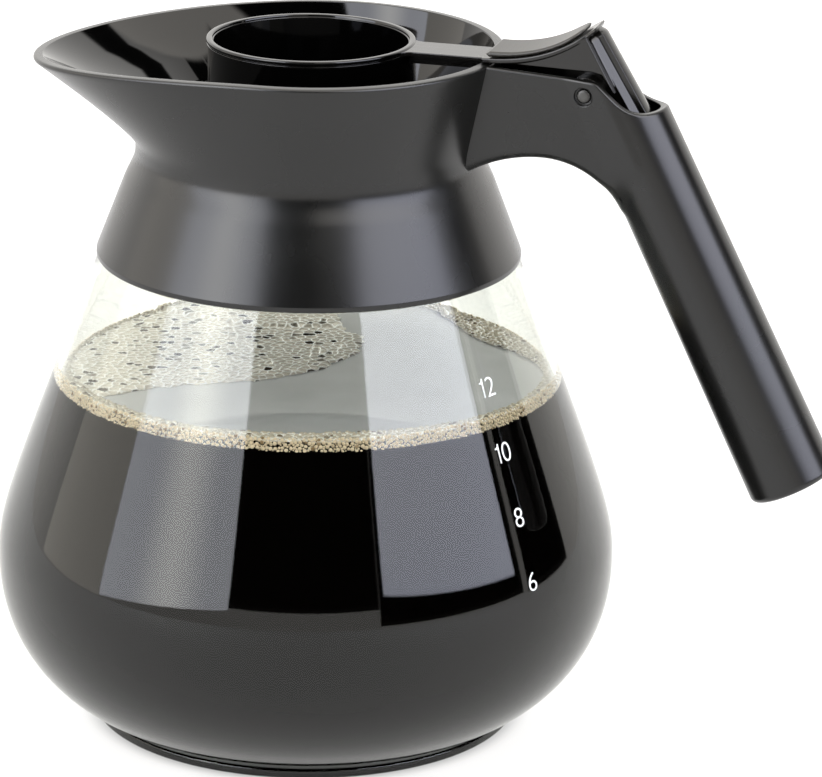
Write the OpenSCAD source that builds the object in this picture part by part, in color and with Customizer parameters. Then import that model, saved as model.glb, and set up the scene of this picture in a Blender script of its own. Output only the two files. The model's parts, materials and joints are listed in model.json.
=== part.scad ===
// Glass coffee decanter with a pouring collar, a hollow side handle and a thumb-lever lid.
// Frame: origin at the centre of the glass foot, +Z up, +X towards the handle, -X towards the spout.
// All sizes are in millimetres. Profiles of turned parts are [radius, height] points.

/* [Glass] */
// Largest radius of the globe
bowl_r = 79.5; // [76:0.5:83]
// Height of the widest level
bowl_mid_z = 42; // [39:0.5:45]
// Radius of the foot that the jug stands on
foot_r = 54.6; // [52:0.2:57]
// Wall thickness of the glass
glass_wall = 2.2; // [1.8:0.1:2.6]
// Outer radius of the glass neck
neck_r = 38.9; // [38.5:0.1:39]

/* [Collar] */
// Radius of the rim on the handle side
rim_r = 48.9; // [47:0.1:51]
// Height of the rim
rim_z = 176.5; // [175:0.1:176.6]
// Reach of the spout from the jug's axis
spout_reach = 73.3; // [68:0.1:78]
// How far the spout's tip lies below the rim
spout_droop = 5.9; // [3:0.1:8]
// Radius of the waist above the skirt
waist_r = 44.1; // [43.8:0.1:45]
// Largest radius of the skirt over the glass shoulder
skirt_r = 54; // [53.8:0.1:55.5]
// Radius of the throat that the lid closes
throat_r = 35.5; // [33:0.1:36]
// Segments round the collar
collar_steps = 64; // [48:8:72]

/* [Handle] */
// Tilt of the grip tube from upright
tube_tilt = 26.5; // [24:0.5:29]
// Radius of the grip tube at its lower end
tube_end_r = 11.3; // [10.8:0.1:12]
// Radius of the grip tube at its mouth
tube_mouth_r = 10.4; // [10.2:0.1:10.8]
// Wall thickness of the grip tube
tube_wall = 2; // [1.6:0.1:2.2]
// Half the width across the two cheeks
cheek_half = 9.6; // [9.4:0.1:9.9]

/* [Lid] */
// Outer radius of the lid's sleeve
sleeve_r = 25.9; // [24:0.1:27]
// Half the width of the lever
lever_half = 7.4; // [7:0.1:7.4]
// Radius of the hinge pin
pin_r = 1.7; // [1.5:0.05:1.8]
// Running clearance of the lever on the pin
pin_play = 0.05; // [0.02:0.01:0.08]

/* [Hidden] */
$fn = 96;
joint_gap = 0.3;

// Hinge of the lid
pin_x = 72.4;
pin_z = 170.7;

// Collar heights
skirt_z = 121.9;
waist_z = 152.5;
seat_z = 155.8;
throat_under_z = 153.3;
collar_bore_r = 41.3;
rim_land = 2.8;

// Glass heights
shoulder_r = 54.9;
shoulder_z = 118;
lip_z = 152.2;

// Grip tube axis: a point on it and where it ends, measured down along the axis
tube_x = 93.6;
tube_z = 140;
tube_mouth_s = -36;
tube_end_s = 75.3;

function bezier(p, steps) =
    [for (i = [0:steps]) let (t = i / steps)
        pow(1 - t, 3) * p[0] + 3 * pow(1 - t, 2) * t * p[1] + 3 * (1 - t) * t * t * p[2] + pow(t, 3) * p[3]];

function arc(c, r, a0, a1, steps) =
    [for (i = [0:steps]) let (a = a0 + (a1 - a0) * i / steps) c + r * [cos(a), sin(a)]];

function reversed(list) = [for (i = [len(list) - 1:-1:0]) list[i]];

// ---------------------------------------------------------------- glass

module glass_jug() {
    heel = [foot_r - 2.9, 2.5];
    globe_low = bezier([heel, heel + [7.8, 1.3], [bowl_r, bowl_mid_z - 26.6], [bowl_r, bowl_mid_z]], 16);
    cone_slope = [-0.372, 1];
    cone_foot = [shoulder_r, shoulder_z] - 34 * cone_slope;
    globe_high = bezier([[bowl_r, bowl_mid_z], [bowl_r, bowl_mid_z + 7.8], cone_foot - 30 * cone_slope, cone_foot], 12);
    shoulder = bezier([[shoulder_r, shoulder_z], [shoulder_r, shoulder_z] + 6 * cone_slope,
                       [neck_r, 132], [neck_r, 143.5]], 12);
    bead = [[neck_r, 147], [40.3, 149.4], [40.3, 150.9], [39.6, 151.9], [38.6, lip_z]];
    w = glass_wall;
    inner_low = bezier([[0.01, 4.2], [55, 4.2], [bowl_r - w, bowl_mid_z - 24], [bowl_r - w, bowl_mid_z]], 16);
    inner_high = bezier([[bowl_r - w, bowl_mid_z], [bowl_r - w, bowl_mid_z + 7.8],
                         cone_foot - 30 * cone_slope - [w, 0], cone_foot - [w, 0]], 12);
    inner_shoulder = bezier([[shoulder_r - w, shoulder_z], [shoulder_r - w, shoulder_z] + 5 * cone_slope,
                             [neck_r - w, 131], [neck_r - w, 143.5]], 12);
    outer = concat([[0, 0], [foot_r, 0], [foot_r + 0.7, 0.7], [foot_r + 0.3, 2.1]],
                   globe_low, globe_high, shoulder, bead);
    inner = concat([[0, 4.2]], inner_low, inner_high, inner_shoulder, [[neck_r - w, 151.4], [37.6, lip_z]]);
    color([0.85, 0.92, 0.92, 0.35])
        rotate_extrude($fn = 128)
            polygon(concat(outer, reversed(inner)));
}

// ---------------------------------------------------------------- hidden neck parts

// Silicone ring between the glass lip and the collar's seat
module neck_gasket() {
    color([0.75, 0.74, 0.7])
        rotate_extrude()
            polygon([[36.9, lip_z + 0.05], [40.5, lip_z + 0.05], [40.55, 150.2], [41.1, 150.2],
                     [41.1, throat_under_z - 0.05], [36.9, throat_under_z - 0.05]]);
}

// Split ring that hooks under the lip of the glass and snaps into the collar's groove
module neck_clamp_ring() {
    split = 7;
    color([0.16, 0.16, 0.16])
        difference() {
            rotate_extrude()
                polygon([[neck_r + 0.35, 142], [41, 142], [41.1, 143], [41.8, 143.4], [41.8, 144.6], [41.1, 145],
                         [41.1, 149], [40.55, 149], [neck_r + 0.35, 146.4]]);
            translate([30, -split / 2, 140])
                cube([15, split, 12]);
        }
}

// ---------------------------------------------------------------- collar

// Radius of the rim in direction a: a circle towards the handle, half an ellipse towards the spout
function rim_radius(a) =
    cos(a) >= 0 ? rim_r : 1 / sqrt(pow(cos(a) / spout_reach, 2) + pow(sin(a) / rim_r, 2));

// The rim sinks towards the spout's tip
function rim_height(a) =
    rim_z - spout_droop * pow(max(0, -cos(a) * rim_radius(a)) / spout_reach, 1.63);

// Outer section of the collar in direction a, from the skirt's lower edge to the rim
function collar_outside(a, inset) =
    let (waist = [waist_r - inset, waist_z],
         rim = [rim_radius(a) - inset, rim_height(a)],
         flare = (rim - waist) / norm(rim - waist))
    concat([[skirt_r - inset - 1, skirt_z], [skirt_r - inset - 0.25, skirt_z + 0.35], [skirt_r - inset, skirt_z + 1.1]],
           bezier([[47 - inset, 141.4], [46 - inset, 144], [waist_r - inset, 146.5], [waist_r - inset, 149.5]], 4),
           bezier([waist - [0, 2], waist - [0, 0.4], waist + 1 * flare, waist + 4.5 * flare], 3),
           [rim]);

// Inner section, from the rim down through the throat and the seat to the skirt's lower edge
function collar_inside(a) =
    let (land = rim_land + 1.2 * pow(max(0, -cos(a)), 3),
         rim = [rim_radius(a) - land, rim_height(a)],
         foot = [collar_bore_r, seat_z + 2.2],
         flare = (rim - foot) / norm(rim - foot))
    concat([rim], [foot + 4 * flare, foot + 1 * flare],
           [[collar_bore_r, seat_z], [throat_r + 0.6, seat_z], [throat_r, seat_z - 0.6], [throat_r, throat_under_z],
            [collar_bore_r, throat_under_z], [collar_bore_r, 145.2], [42.1, 144.8], [42.1, 143.2],
            [collar_bore_r + 0.1, 142.6], [collar_bore_r + 0.6, 140.4], [skirt_r - 2.9, 124.6], [skirt_r - 1.35, skirt_z]]);

module pour_collar() {
    sections = [for (i = [0:collar_steps - 1]) let (a = 360 * i / collar_steps)
        [for (p = concat(collar_outside(a, 0), collar_inside(a))) [p[0] * cos(a), p[0] * sin(a), p[1]]]];
    m = len(sections[0]);
    points = [for (s = sections) each s];
    faces = [for (i = [0:collar_steps - 1], j = [0:m - 1])
        let (k = (i + 1) % collar_steps, n = (j + 1) % m) each
            [[i * m + j, i * m + n, k * m + j], [i * m + n, k * m + n, k * m + j]]];
    color([0.13, 0.13, 0.13])
        polyhedron(points, faces);
}

// ---------------------------------------------------------------- handle

// Places children on the grip tube's axis, s down along it
module on_tube(s) {
    translate([tube_x, 0, tube_z])
        rotate([0, -tube_tilt, 0])
            translate([0, 0, -s])
                children();
}

// Radius of the grip tube at s down along its axis
function tube_r(s) = tube_mouth_r + (tube_end_r - tube_mouth_r) * (s - tube_mouth_s) / (tube_end_s - tube_mouth_s);

// A turned solid on the tube's axis: its profile is given as [radius, s] points
module turned_on_tube(profile) {
    on_tube(0)
        rotate_extrude()
            polygon([for (p = profile) [p[0], -p[1]]]);
}

// Extrudes a side view, given as [x, z] points, over +-half across the handle plane
module side_plate(outline, half) {
    translate([0, half, 0])
        rotate([90, 0, 0])
            linear_extrude(2 * half)
                polygon(outline);
}

// Underside of the bridge, from the tube back to the collar: a tight arc, then a flatter one from the crown on
crown = [61.8, 153.8];
arch_r = 23.2;
arch_root_r = 36;
function arch(lift, end, steps) =
    concat(arc(crown - [0, arch_r - lift], arch_r, 28, 90, steps),
           [for (p = arc(crown - [0, arch_root_r - lift], arch_root_r, 90, end, 8)) if (p[0] < crown[0] - 0.5) p]);

// Rounds the long lower edges of the bridge: each half of the arch is a turned cut that flares at its ends
module arch_edges() {
    edge = 2.6;
    for (half = [[arch_r, 0], [arch_root_r, -40]])
        intersection() {
            translate([crown[0], 0, crown[1] - half[0]])
                rotate([90, 0, 0])
                    rotate_extrude()
                        polygon(concat([[0, -12], [half[0] + edge, -12]],
                                       [for (p = arc([half[0] + edge, edge - cheek_half], edge, 270, 180, 5)) p],
                                       reversed([for (p = arc([half[0] + edge, edge - cheek_half], edge, 270, 180, 5)) [p[0], -p[1]]]),
                                       [[half[0] + edge, 12], [0, 12]]));
            translate([crown[0] + half[1], -15, 100])
                cube([40, 30, 80]);
        }
}

module handle() {
    top_bend = arc([74.1, 171.1], 3.5, 88, 20, 6);
    mouth = arc([88, 177.8], 10.8, 206, 292, 14);
    above = concat([[30, 176.9], [48, 176.2]], top_bend, mouth, [[96, 169.6], [110, 169.6], [110, 200], [30, 200]]);
    bridge = concat([[38, 148.6], [38, 178], [74.6, 178], [95.1, 137]], arch(0, 114, 14));
    channel = concat([[36, 153.4], [36, 190], [68.6, 190], [88.6, 150], [84, 147.5]], arch(2.6, 110, 12));
    color([0.13, 0.13, 0.13])
        difference() {
            union() {
                difference() {
                    side_plate(bridge, cheek_half);
                    arch_edges();
                }
                turned_on_tube(concat([[0, tube_mouth_s], [tube_mouth_r, tube_mouth_s]],
                                      arc([tube_end_r - 1.5, tube_end_s - 1.5], 1.5, 0, 90, 5), [[0, tube_end_s]]));
            }
            turned_on_tube([[0, tube_mouth_s - 5], [tube_mouth_r - tube_wall, tube_mouth_s - 5],
                            [tube_end_r - tube_wall, tube_end_s + 5], [0, tube_end_s + 5]]);
            side_plate(channel, lever_half + joint_gap);
            side_plate(above, 20);
            // The collar's wall, less a small overlap where the two are moulded together
            rotate_extrude()
                polygon(concat([[0, 110]], [for (p = collar_outside(0, 0.4)) p], [[0, 178]]));
            // Pin holes with a relief round each end
            translate([pin_x, 15, pin_z])
                rotate([90, 0, 0])
                    cylinder(h = 30, r = pin_r);
            for (side = [-1, 1])
                translate([pin_x, side * cheek_half + 0.8, pin_z])
                    rotate([90, 0, 0])
                        cylinder(h = 1.6, r = pin_r + 0.55);
        }
}

// Plug that closes the lower end of the grip tube
module handle_end_cap() {
    top = tube_end_s - 9;
    face = tube_end_s - 0.6;
    r_top = tube_r(top) - tube_wall - 0.05;
    r_face = tube_r(face) - tube_wall - 0.05;
    color([0.13, 0.13, 0.13])
        turned_on_tube([[0, face - 2], [r_face - 1.6, face - 2], [r_top - 1.6, top], [r_top, top],
                        [r_face, face - 0.5], [r_face - 0.5, face], [0, face]]);
}

module hinge_pin() {
    length = 2 * cheek_half - 0.8;
    color([0.42, 0.42, 0.42])
        translate([pin_x, length / 2, pin_z])
            rotate([90, 0, 0])
                cylinder(h = length, r = pin_r);
}

// ---------------------------------------------------------------- lid

// Top of the lever's ledge, from the arm up to the thumb peak
ledge_curve = bezier([[46, 178], [60, 178], [67, 181.9], [74.2, 187.3]], 18);
// Back of the spine, and the direction in which it enters the tube
spine_tilt = 31;
spine_top = [75.4, 186.2];

// Plan of the lever's end: full width, with rounded corners at x
function end_plan(x, half, corner) =
    concat([[40, -half]], arc([x - corner, corner - half], corner, -90, 0, 8),
           arc([x - corner, half - corner], corner, 0, 90, 8), [[40, half]]);

module lid_lever() {
    ledge = 1.2;
    wall = 1.7;
    web = concat([[46, 177]], [for (p = ledge_curve) p - [0, ledge / 2]],
                 [[72.6, 185.2], [78.9, 175.6], [80.3, 171.4], [78.4, 173.8], [76.4, 175.9], [73.8, 176.5], [56, 176.9]]);
    plate = concat([for (p = ledge_curve) p], reversed([for (p = ledge_curve) p - [0, ledge]]));
    hollow = concat([for (p = ledge_curve) if (p[0] > 50) p - [0, ledge + 0.4]], [[73, 183.2], [77.6, 174.6], [77.6, 170], [50, 170]]);
    thick = 3.5;
    out = [cos(spine_tilt), sin(spine_tilt)];
    spine_end = spine_top + 28.8 * [sin(spine_tilt), -cos(spine_tilt)];
    spine = [[71.6, 184], [73.6, 187.3], [74.5, 187.2], spine_top, spine_end, spine_end - thick * out];
    back_r = 7.8;
    gusset = [[64, 180], [71, 184.5], [76, 184], [84, 169], [81, 164.5], [76, 168], [69.5, 168]];
    color([0.3, 0.29, 0.28])
        difference() {
            union() {
                // Sleeve with its bead and the step below it
                rotate_extrude()
                    polygon([[sleeve_r - 1, 154.4], [sleeve_r, 154.4], [sleeve_r, 175.2], [sleeve_r + 0.3, 175.4],
                             [sleeve_r + 0.3, 175.9], [sleeve_r, 176.1], [sleeve_r, 176.5], [sleeve_r + 0.4, 176.9],
                             [sleeve_r + 0.4, 177.7], [sleeve_r, 178], [sleeve_r - 0.7, 178], [sleeve_r - 1, 177.7]]);
                // Arm and the rib under it
                translate([sleeve_r - 0.6, -lever_half, 177])
                    cube([47 - sleeve_r, 2 * lever_half, 1]);
                translate([sleeve_r - 0.6, -1.2, 173.6])
                    cube([18.5, 2.4, 3.6]);
                intersection() {
                    side_plate(plate, lever_half + 0.6);
                    translate([0, 0, 170])
                        linear_extrude(20)
                            polygon(end_plan(74.2, lever_half + 0.6, 5));
                }
                difference() {
                    side_plate(web, lever_half);
                    side_plate(hollow, lever_half - wall);
                }
                // The spine has a crowned back
                intersection() {
                    side_plate(spine, 4.6);
                    translate([spine_top[0] - back_r * out[0], 0, spine_top[1] - back_r * out[1]])
                        rotate([0, -spine_tilt, 0])
                            cylinder(h = 80, r = back_r, center = true);
                }
                side_plate(gusset, 3.2);
                translate([pin_x, lever_half, pin_z])
                    rotate([90, 0, 0])
                        cylinder(h = 2 * lever_half, r = 4.2);
            }
            translate([pin_x, 15, pin_z])
                rotate([90, 0, 0])
                    cylinder(h = 30, r = pin_r + pin_play);
            // The bore of the sleeve stays clear of the arm's root
            translate([0, 0, 150])
                cylinder(h = 40, r = sleeve_r - 1);
        }
}

// Drip cup inside the sleeve: its floor falls to a drain in the middle
module lid_cup() {
    r = sleeve_r - 1.05;
    drain_r = 5;
    color([0.1, 0.1, 0.1])
        rotate_extrude()
            polygon([[r, 176.9], [r, 158], [r - 1.5, 156], [drain_r + 1.5, 154.2], [drain_r + 1.5, 151],
                     [drain_r, 151], [drain_r, 155.6], [r - 2.2, 158.4], [r - 1.3, 160], [r - 1.3, 176.9]]);
}

// Disc that closes the throat, with pouring slots on the spout side
module lid_closure_disc() {
    r = throat_r + 3;
    z = seat_z + joint_gap;
    slot_r = 31.5;
    color([0.13, 0.13, 0.13])
        difference() {
            rotate_extrude()
                polygon([[sleeve_r, z - 1.2], [sleeve_r + 1, z - 1.2], [sleeve_r + 1.6, z], [r, z], [r, z + 1],
                         [r - 0.6, z + 1.5], [sleeve_r + 1.2, z + 1.5], [sleeve_r, z + 3]]);
            for (a = [148:16:212])
                rotate(a)
                    translate([slot_r, 0, z - 2])
                        cylinder(h = 6, r = 2.4, $fn = 32);
        }
}

// Soft insert that the thumb presses
module thumb_pad() {
    lower = [for (p = ledge_curve) if (p[0] > 47 && p[0] < 71.5) p + [0, 0.05]];
    upper = bezier([[47.9, 179.7], [60, 179.5], [66, 183.2], [71.5, 187]], 16);
    outline = concat(lower, reversed(upper), [[46.7, 179]]);
    color([0.42, 0.41, 0.39])
        intersection() {
            side_plate(outline, 7.7);
            translate([0, 0, 170])
                linear_extrude(20)
                    polygon(end_plan(71.5, 7.7, 3));
        }
}

glass_jug();
neck_gasket();
neck_clamp_ring();
pour_collar();
handle();
handle_end_cap();
hinge_pin();
lid_lever();
lid_cup();
lid_closure_disc();
thumb_pad();
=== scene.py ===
"""Looks of a glass coffee decanter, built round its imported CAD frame.

Shapes are worked out in millimetres in the frame's axes (+Z up, +X towards the handle) and turned into metres
when a mesh is made. Turned parts are profiles of (radius, height) points. The collar is a swept section. The
handle, the lever and the thumb pad are solids described by distance fields, which are meshed and then settled
on their true surface, so that their edges are properly rounded.
"""

import json
import math

import bpy
import numpy as np
import openvdb
from mathutils import Matrix, Vector
from mathutils.kdtree import KDTree


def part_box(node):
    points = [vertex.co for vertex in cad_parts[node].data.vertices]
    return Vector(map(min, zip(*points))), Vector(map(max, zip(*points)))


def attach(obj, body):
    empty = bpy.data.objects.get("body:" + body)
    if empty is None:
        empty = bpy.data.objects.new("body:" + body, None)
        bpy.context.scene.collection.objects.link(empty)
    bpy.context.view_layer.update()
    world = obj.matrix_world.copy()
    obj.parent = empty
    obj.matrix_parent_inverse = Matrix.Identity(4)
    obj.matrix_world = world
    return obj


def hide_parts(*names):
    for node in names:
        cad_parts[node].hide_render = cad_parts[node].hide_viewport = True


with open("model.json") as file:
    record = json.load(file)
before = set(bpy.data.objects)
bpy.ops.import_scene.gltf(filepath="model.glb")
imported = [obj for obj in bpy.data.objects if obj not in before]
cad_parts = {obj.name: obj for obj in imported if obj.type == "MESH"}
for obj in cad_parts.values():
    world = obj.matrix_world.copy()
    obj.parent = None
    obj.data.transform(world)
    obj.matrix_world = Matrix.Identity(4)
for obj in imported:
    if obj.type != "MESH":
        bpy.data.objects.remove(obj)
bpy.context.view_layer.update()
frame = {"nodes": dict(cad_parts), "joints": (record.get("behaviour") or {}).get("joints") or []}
MM = 0.001


def node_box(name):
    """Lowest and highest corner of a CAD node in millimetres."""
    low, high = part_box(name)
    return np.array(low) / MM, np.array(high) / MM


# ---------------------------------------------------------------- driving dimensions
_, GLASS_HIGH = node_box("glass_jug")
COLLAR_LOW, COLLAR_HIGH = node_box("pour_collar")
PIN_X, _, PIN_Z = (c / MM for c in frame["joints"][0]["pos_m"])
BOWL_R = GLASS_HIGH[1]  # widest radius of the globe
BOWL_MID = 42.0  # height of the widest level
FOOT_R = 54.6
WALL = 2.2  # glass wall
NECK_R = 38.9
LIP_Z = GLASS_HIGH[2]
CONE_SLOPE = -0.372  # radius lost per millimetre of height on the upper cone
SHOULDER = np.array([53.57, 121.6])

RIM_R = 48.9  # rim radius towards the handle
RIM_Z = COLLAR_HIGH[2]
SPOUT_REACH = -COLLAR_LOW[0]
SPOUT_DROOP = 5.9
WAIST_R, WAIST_Z = 44.1, 152.5
SKIRT_R, SKIRT_Z = 54.0, COLLAR_LOW[2]

CHEEK_HALF = 9.6
LEVER_HALF = 7.4
ARM_HALF = 5.9
TUBE_POINT = np.array([93.6, 140.0])  # a point on the grip tube's axis, (x, z)
TUBE_TILT = math.radians(26.5)
TUBE_MOUTH_S, TUBE_END_S = -36.0, 75.3
TUBE_MOUTH_R, TUBE_END_R, TUBE_WALL = 10.4, 11.3, 2.0
SLEEVE_R = 25.9

COFFEE_Z = 91.6  # level of the coffee


# ---------------------------------------------------------------- curves
def bezier(p0, p1, p2, p3, steps):
    t = np.linspace(0, 1, steps + 1)[:, None]
    p0, p1, p2, p3 = (np.array(p, float) for p in (p0, p1, p2, p3))
    return (1 - t) ** 3 * p0 + 3 * (1 - t) ** 2 * t * p1 + 3 * (1 - t) * t * t * p2 + t**3 * p3


def arc(centre, radius, start, end, steps):
    a = np.radians(np.linspace(start, end, steps + 1))
    return np.array(centre) + radius * np.stack([np.cos(a), np.sin(a)], 1)


def filleted(corners, steps=5):
    """A polyline of (r, z, radius) corners with each corner rounded by its radius. The ends stay."""
    pts = [np.array(corners[0][:2], float)]
    for before, here, after in zip(corners, corners[1:], corners[2:]):
        p, radius = np.array(here[:2], float), here[2]
        u, v = np.array(before[:2], float) - p, np.array(after[:2], float) - p
        u, v = u / np.linalg.norm(u), v / np.linalg.norm(v)
        if radius <= 0:
            pts.append(p)
            continue
        half = math.acos(max(-1, min(1, float(u @ v)))) / 2
        reach = radius / math.tan(half)
        centre = p + (u + v) / np.linalg.norm(u + v) * radius / math.sin(half)
        a, b = p + u * reach - centre, p + v * reach - centre
        turn = math.acos(max(-1, min(1, float(a @ b) / radius**2)))
        for i in range(steps + 1):
            w = i / steps
            pts.append(centre + (math.sin((1 - w) * turn) * a + math.sin(w * turn) * b) / math.sin(turn))
    pts.append(np.array(corners[-1][:2], float))
    return np.array(pts)


# ---------------------------------------------------------------- meshes
def new_object(name, points_mm, faces, body, materials, smooth_angle=None, picks=None):
    """A mesh piece that rides on a CAD body. picks gives each face's material index."""
    mesh = bpy.data.meshes.new(name)
    mesh.from_pydata((np.asarray(points_mm) * MM).tolist(), [], faces)
    mesh.validate()
    for m in materials:
        mesh.materials.append(m)
    if picks is not None:
        mesh.polygons.foreach_set("material_index", np.asarray(picks, np.int32))
    mesh.polygons.foreach_set("use_smooth", np.ones(len(mesh.polygons), bool))
    if smooth_angle:
        mesh.set_sharp_from_angle(angle=math.radians(smooth_angle))
    mesh.update()
    obj = bpy.data.objects.new(name, mesh)
    bpy.context.scene.collection.objects.link(obj)
    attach(obj, body)
    return obj


def swept(sections, closed_profile):
    """Points and quads of a surface from equal sections, each an (m, 3) array, joined in a full circle."""
    n, m = len(sections), len(sections[0])
    points = np.concatenate(sections)
    faces = []
    for i in range(n):
        k = (i + 1) % n
        for j in range(m if closed_profile else m - 1):
            q = (j + 1) % m
            faces.append((i * m + j, k * m + j, k * m + q, i * m + q))
    return points, faces


def turned(name, profile, body, materials, steps=192, smooth_angle=35, pick=None):
    """A turned piece from (radius, height) points. Where a profile starts and ends on the axis it is closed there.
    pick(j) gives the material index of the faces after profile point j."""
    profile = np.array(profile, float)
    on_axis = profile[0][0] < 1e-6 and profile[-1][0] < 1e-6
    ring = profile[1:-1] if on_axis else profile
    angles = np.linspace(0, 2 * math.pi, steps, endpoint=False)
    sections = [np.stack([ring[:, 0] * math.cos(a), ring[:, 0] * math.sin(a), ring[:, 1]], 1) for a in angles]
    points, faces = swept(sections, not on_axis)
    per = len(ring) if not on_axis else len(ring) - 1
    picks = [pick(j) if pick else 0 for _ in range(steps) for j in range(per)]
    if on_axis:
        m = len(ring)
        points = np.concatenate([points, [[0, 0, profile[0][1]], [0, 0, profile[-1][1]]]])
        first, last = len(points) - 2, len(points) - 1
        for i in range(steps):
            k = (i + 1) % steps
            faces.append((first, k * m, i * m))
            faces.append((last, i * m + m - 1, k * m + m - 1))
            picks += [pick(0) if pick else 0, pick(per) if pick else 0]
    return new_object(name, points, faces, body, materials, smooth_angle, picks)


# ---------------------------------------------------------------- distance fields
def outline_distance(x, z, outline):
    """Signed distance to a closed outline in the xz plane, negative inside."""
    pts = np.array(outline, np.float32)
    best = np.full(np.broadcast(x, z).shape, np.float32(1e9))
    inside = np.zeros(best.shape, bool)
    for (ax, az), (bx, bz) in zip(pts, np.roll(pts, -1, 0)):
        ex, ez = bx - ax, bz - az
        wx, wz = x - ax, z - az
        t = np.clip((wx * ex + wz * ez) / (ex * ex + ez * ez), 0, 1)
        best = np.minimum(best, (wx - t * ex) ** 2 + (wz - t * ez) ** 2)
        if az != bz:
            crosses = ((az > z) != (bz > z)) & (x < ex * (z - az) / ez + ax)
            inside ^= crosses
    return np.where(inside, -1, 1) * np.sqrt(best)


def both(a, b, radius):
    """Where two solids overlap, with the edge between them rounded."""
    u, v = np.maximum(a + radius, 0), np.maximum(b + radius, 0)
    return np.minimum(-radius, np.maximum(a, b)) + np.hypot(u, v)


def either(a, b, radius):
    """Two solids joined, with a fillet between them."""
    return -both(-a, -b, radius)


def without(a, b, radius):
    return both(a, -b, radius)


def field_piece(name, field, low, high, step, body, materials):
    """Meshes field(x, y, z) <= 0 inside a box, for a shape that is the same on both sides of y = 0. Each vertex is
    then settled on the surface by a few Newton steps, and takes its normal from the field."""
    xs = np.arange(low[0], high[0] + step, step, dtype=np.float32)
    ys = np.arange(0, high[1] + step, step, dtype=np.float32)
    zs = np.arange(low[2], high[2] + step, step, dtype=np.float32)
    half = field(xs[:, None, None], ys[None, :, None], zs[None, None, :]).astype(np.float32)
    half = np.broadcast_to(half, (len(xs), len(ys), len(zs)))
    values = np.concatenate([half[:, :0:-1], half], axis=1)
    reach = np.float32(3 * step)
    grid = openvdb.FloatGrid(float(reach))
    grid.copyFromArray(np.ascontiguousarray(np.clip(values, -reach, reach)))
    points, tris, quads = grid.convertToPolygons(isovalue=0.0, adaptivity=0.0)
    p = points.astype(np.float64) * step + np.array([low[0], -ys[-1], low[2]])
    h = step * 0.2

    def gradient(q):
        out = np.empty_like(q)
        for k in range(3):
            e = np.zeros(3)
            e[k] = h
            a, b = q + e, q - e
            out[:, k] = field(a[:, 0], np.abs(a[:, 1]), a[:, 2]) - field(b[:, 0], np.abs(b[:, 1]), b[:, 2])
        return out / (2 * h)

    for _ in range(3):
        g = gradient(p)
        size = np.maximum((g * g).sum(1), 0.05)
        move = -field(p[:, 0], np.abs(p[:, 1]), p[:, 2]) / size
        p += np.clip(move, -0.4 * step, 0.4 * step)[:, None] * g
    faces = [tuple(int(i) for i in t) for t in tris] + [tuple(int(i) for i in q) for q in quads]
    obj = new_object(name, p, faces, body, materials)
    mesh = obj.data
    # the mesher may wind its faces inwards: compare them with the field, and flip them if so
    g = gradient(p)
    normals = g / np.maximum(np.linalg.norm(g, axis=1), 1e-9)[:, None]
    facing = np.empty(len(mesh.polygons) * 3)
    mesh.polygons.foreach_get("normal", facing)
    first = np.array([f.vertices[0] for f in mesh.polygons])
    if (facing.reshape(-1, 3) * normals[first]).sum(1).mean() < 0:
        mesh.flip_normals()
    mesh.normals_split_custom_set_from_vertices(normals.tolist())
    return obj


# ---------------------------------------------------------------- materials
class Tree:
    """A short way to write node trees: each method adds a node and gives its output."""

    def __init__(self, tree):
        self.tree = tree
        tree.nodes.clear()

    def add(self, kind, inputs=None, **props):
        node = self.tree.nodes.new(kind)
        for k, v in props.items():
            setattr(node, k, v)
        for k, v in (inputs or {}).items():
            if isinstance(v, bpy.types.NodeSocket):
                self.tree.links.new(v, node.inputs[k])
            else:
                node.inputs[k].default_value = v
        return node

    def math(self, operation, *values):
        return self.add("ShaderNodeMath", dict(enumerate(values)), operation=operation).outputs[0]

    def ramp(self, value, low, high, to_low=0.0, to_high=1.0, kind="SMOOTHSTEP"):
        sockets = {"Value": value, "From Min": low, "From Max": high, "To Min": to_low, "To Max": to_high}
        return self.add("ShaderNodeMapRange", sockets, interpolation_type=kind).outputs[0]

    def mix(self, factor, a, b):
        node = self.add("ShaderNodeMix", data_type="RGBA")
        for socket, v in ((node.inputs[0], factor), (node.inputs[6], a), (node.inputs[7], b)):
            if isinstance(v, bpy.types.NodeSocket):
                self.tree.links.new(v, socket)
            else:
                socket.default_value = v
        return node.outputs[2]

    def place(self):
        return self.add("ShaderNodeTexCoord").outputs["Object"]

    def noise(self, scale, detail=3.0):
        sockets = {"Vector": self.place(), "Scale": scale, "Detail": detail}
        return self.add("ShaderNodeTexNoise", sockets).outputs[0]

    def bump(self, height, strength, distance):
        sockets = {"Height": height, "Strength": strength, "Distance": distance}
        return self.add("ShaderNodeBump", sockets).outputs[0]

    def finish(self, shader, volume=None):
        out = self.add("ShaderNodeOutputMaterial", {"Surface": shader})
        if volume:
            self.tree.links.new(volume, out.inputs["Volume"])


def new_material(name):
    m = bpy.data.materials.new(name)
    m.use_nodes = True
    return m, Tree(m.node_tree)


def rgba(r, g, b):
    return (r, g, b, 1.0)


def plastic(name, colour, rough, grain, grain_scale=2600.0, ior=1.5):
    """Moulded plastic: a slightly uneven colour and gloss, over a fine spark-eroded grain."""
    spread = 0.25  # how far the colour wanders either way
    m, t = new_material(name)
    cloud = t.noise(38.0, 4.0)
    fine = t.noise(grain_scale, 2.0)
    dark = rgba(*(c * (1 - spread) for c in colour))
    light = rgba(*(c * (1 + spread) for c in colour))
    base = t.mix(t.ramp(cloud, 0.35, 0.65), dark, light)
    roughness = t.ramp(cloud, 0.3, 0.7, rough * 0.92, rough * 1.08, "LINEAR")
    normal = t.bump(fine, grain, 0.00006)
    sockets = {"Base Color": base, "Roughness": roughness, "Normal": normal, "IOR": ior}
    t.finish(t.add("ShaderNodeBsdfPrincipled", sockets).outputs[0])
    return m


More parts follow.
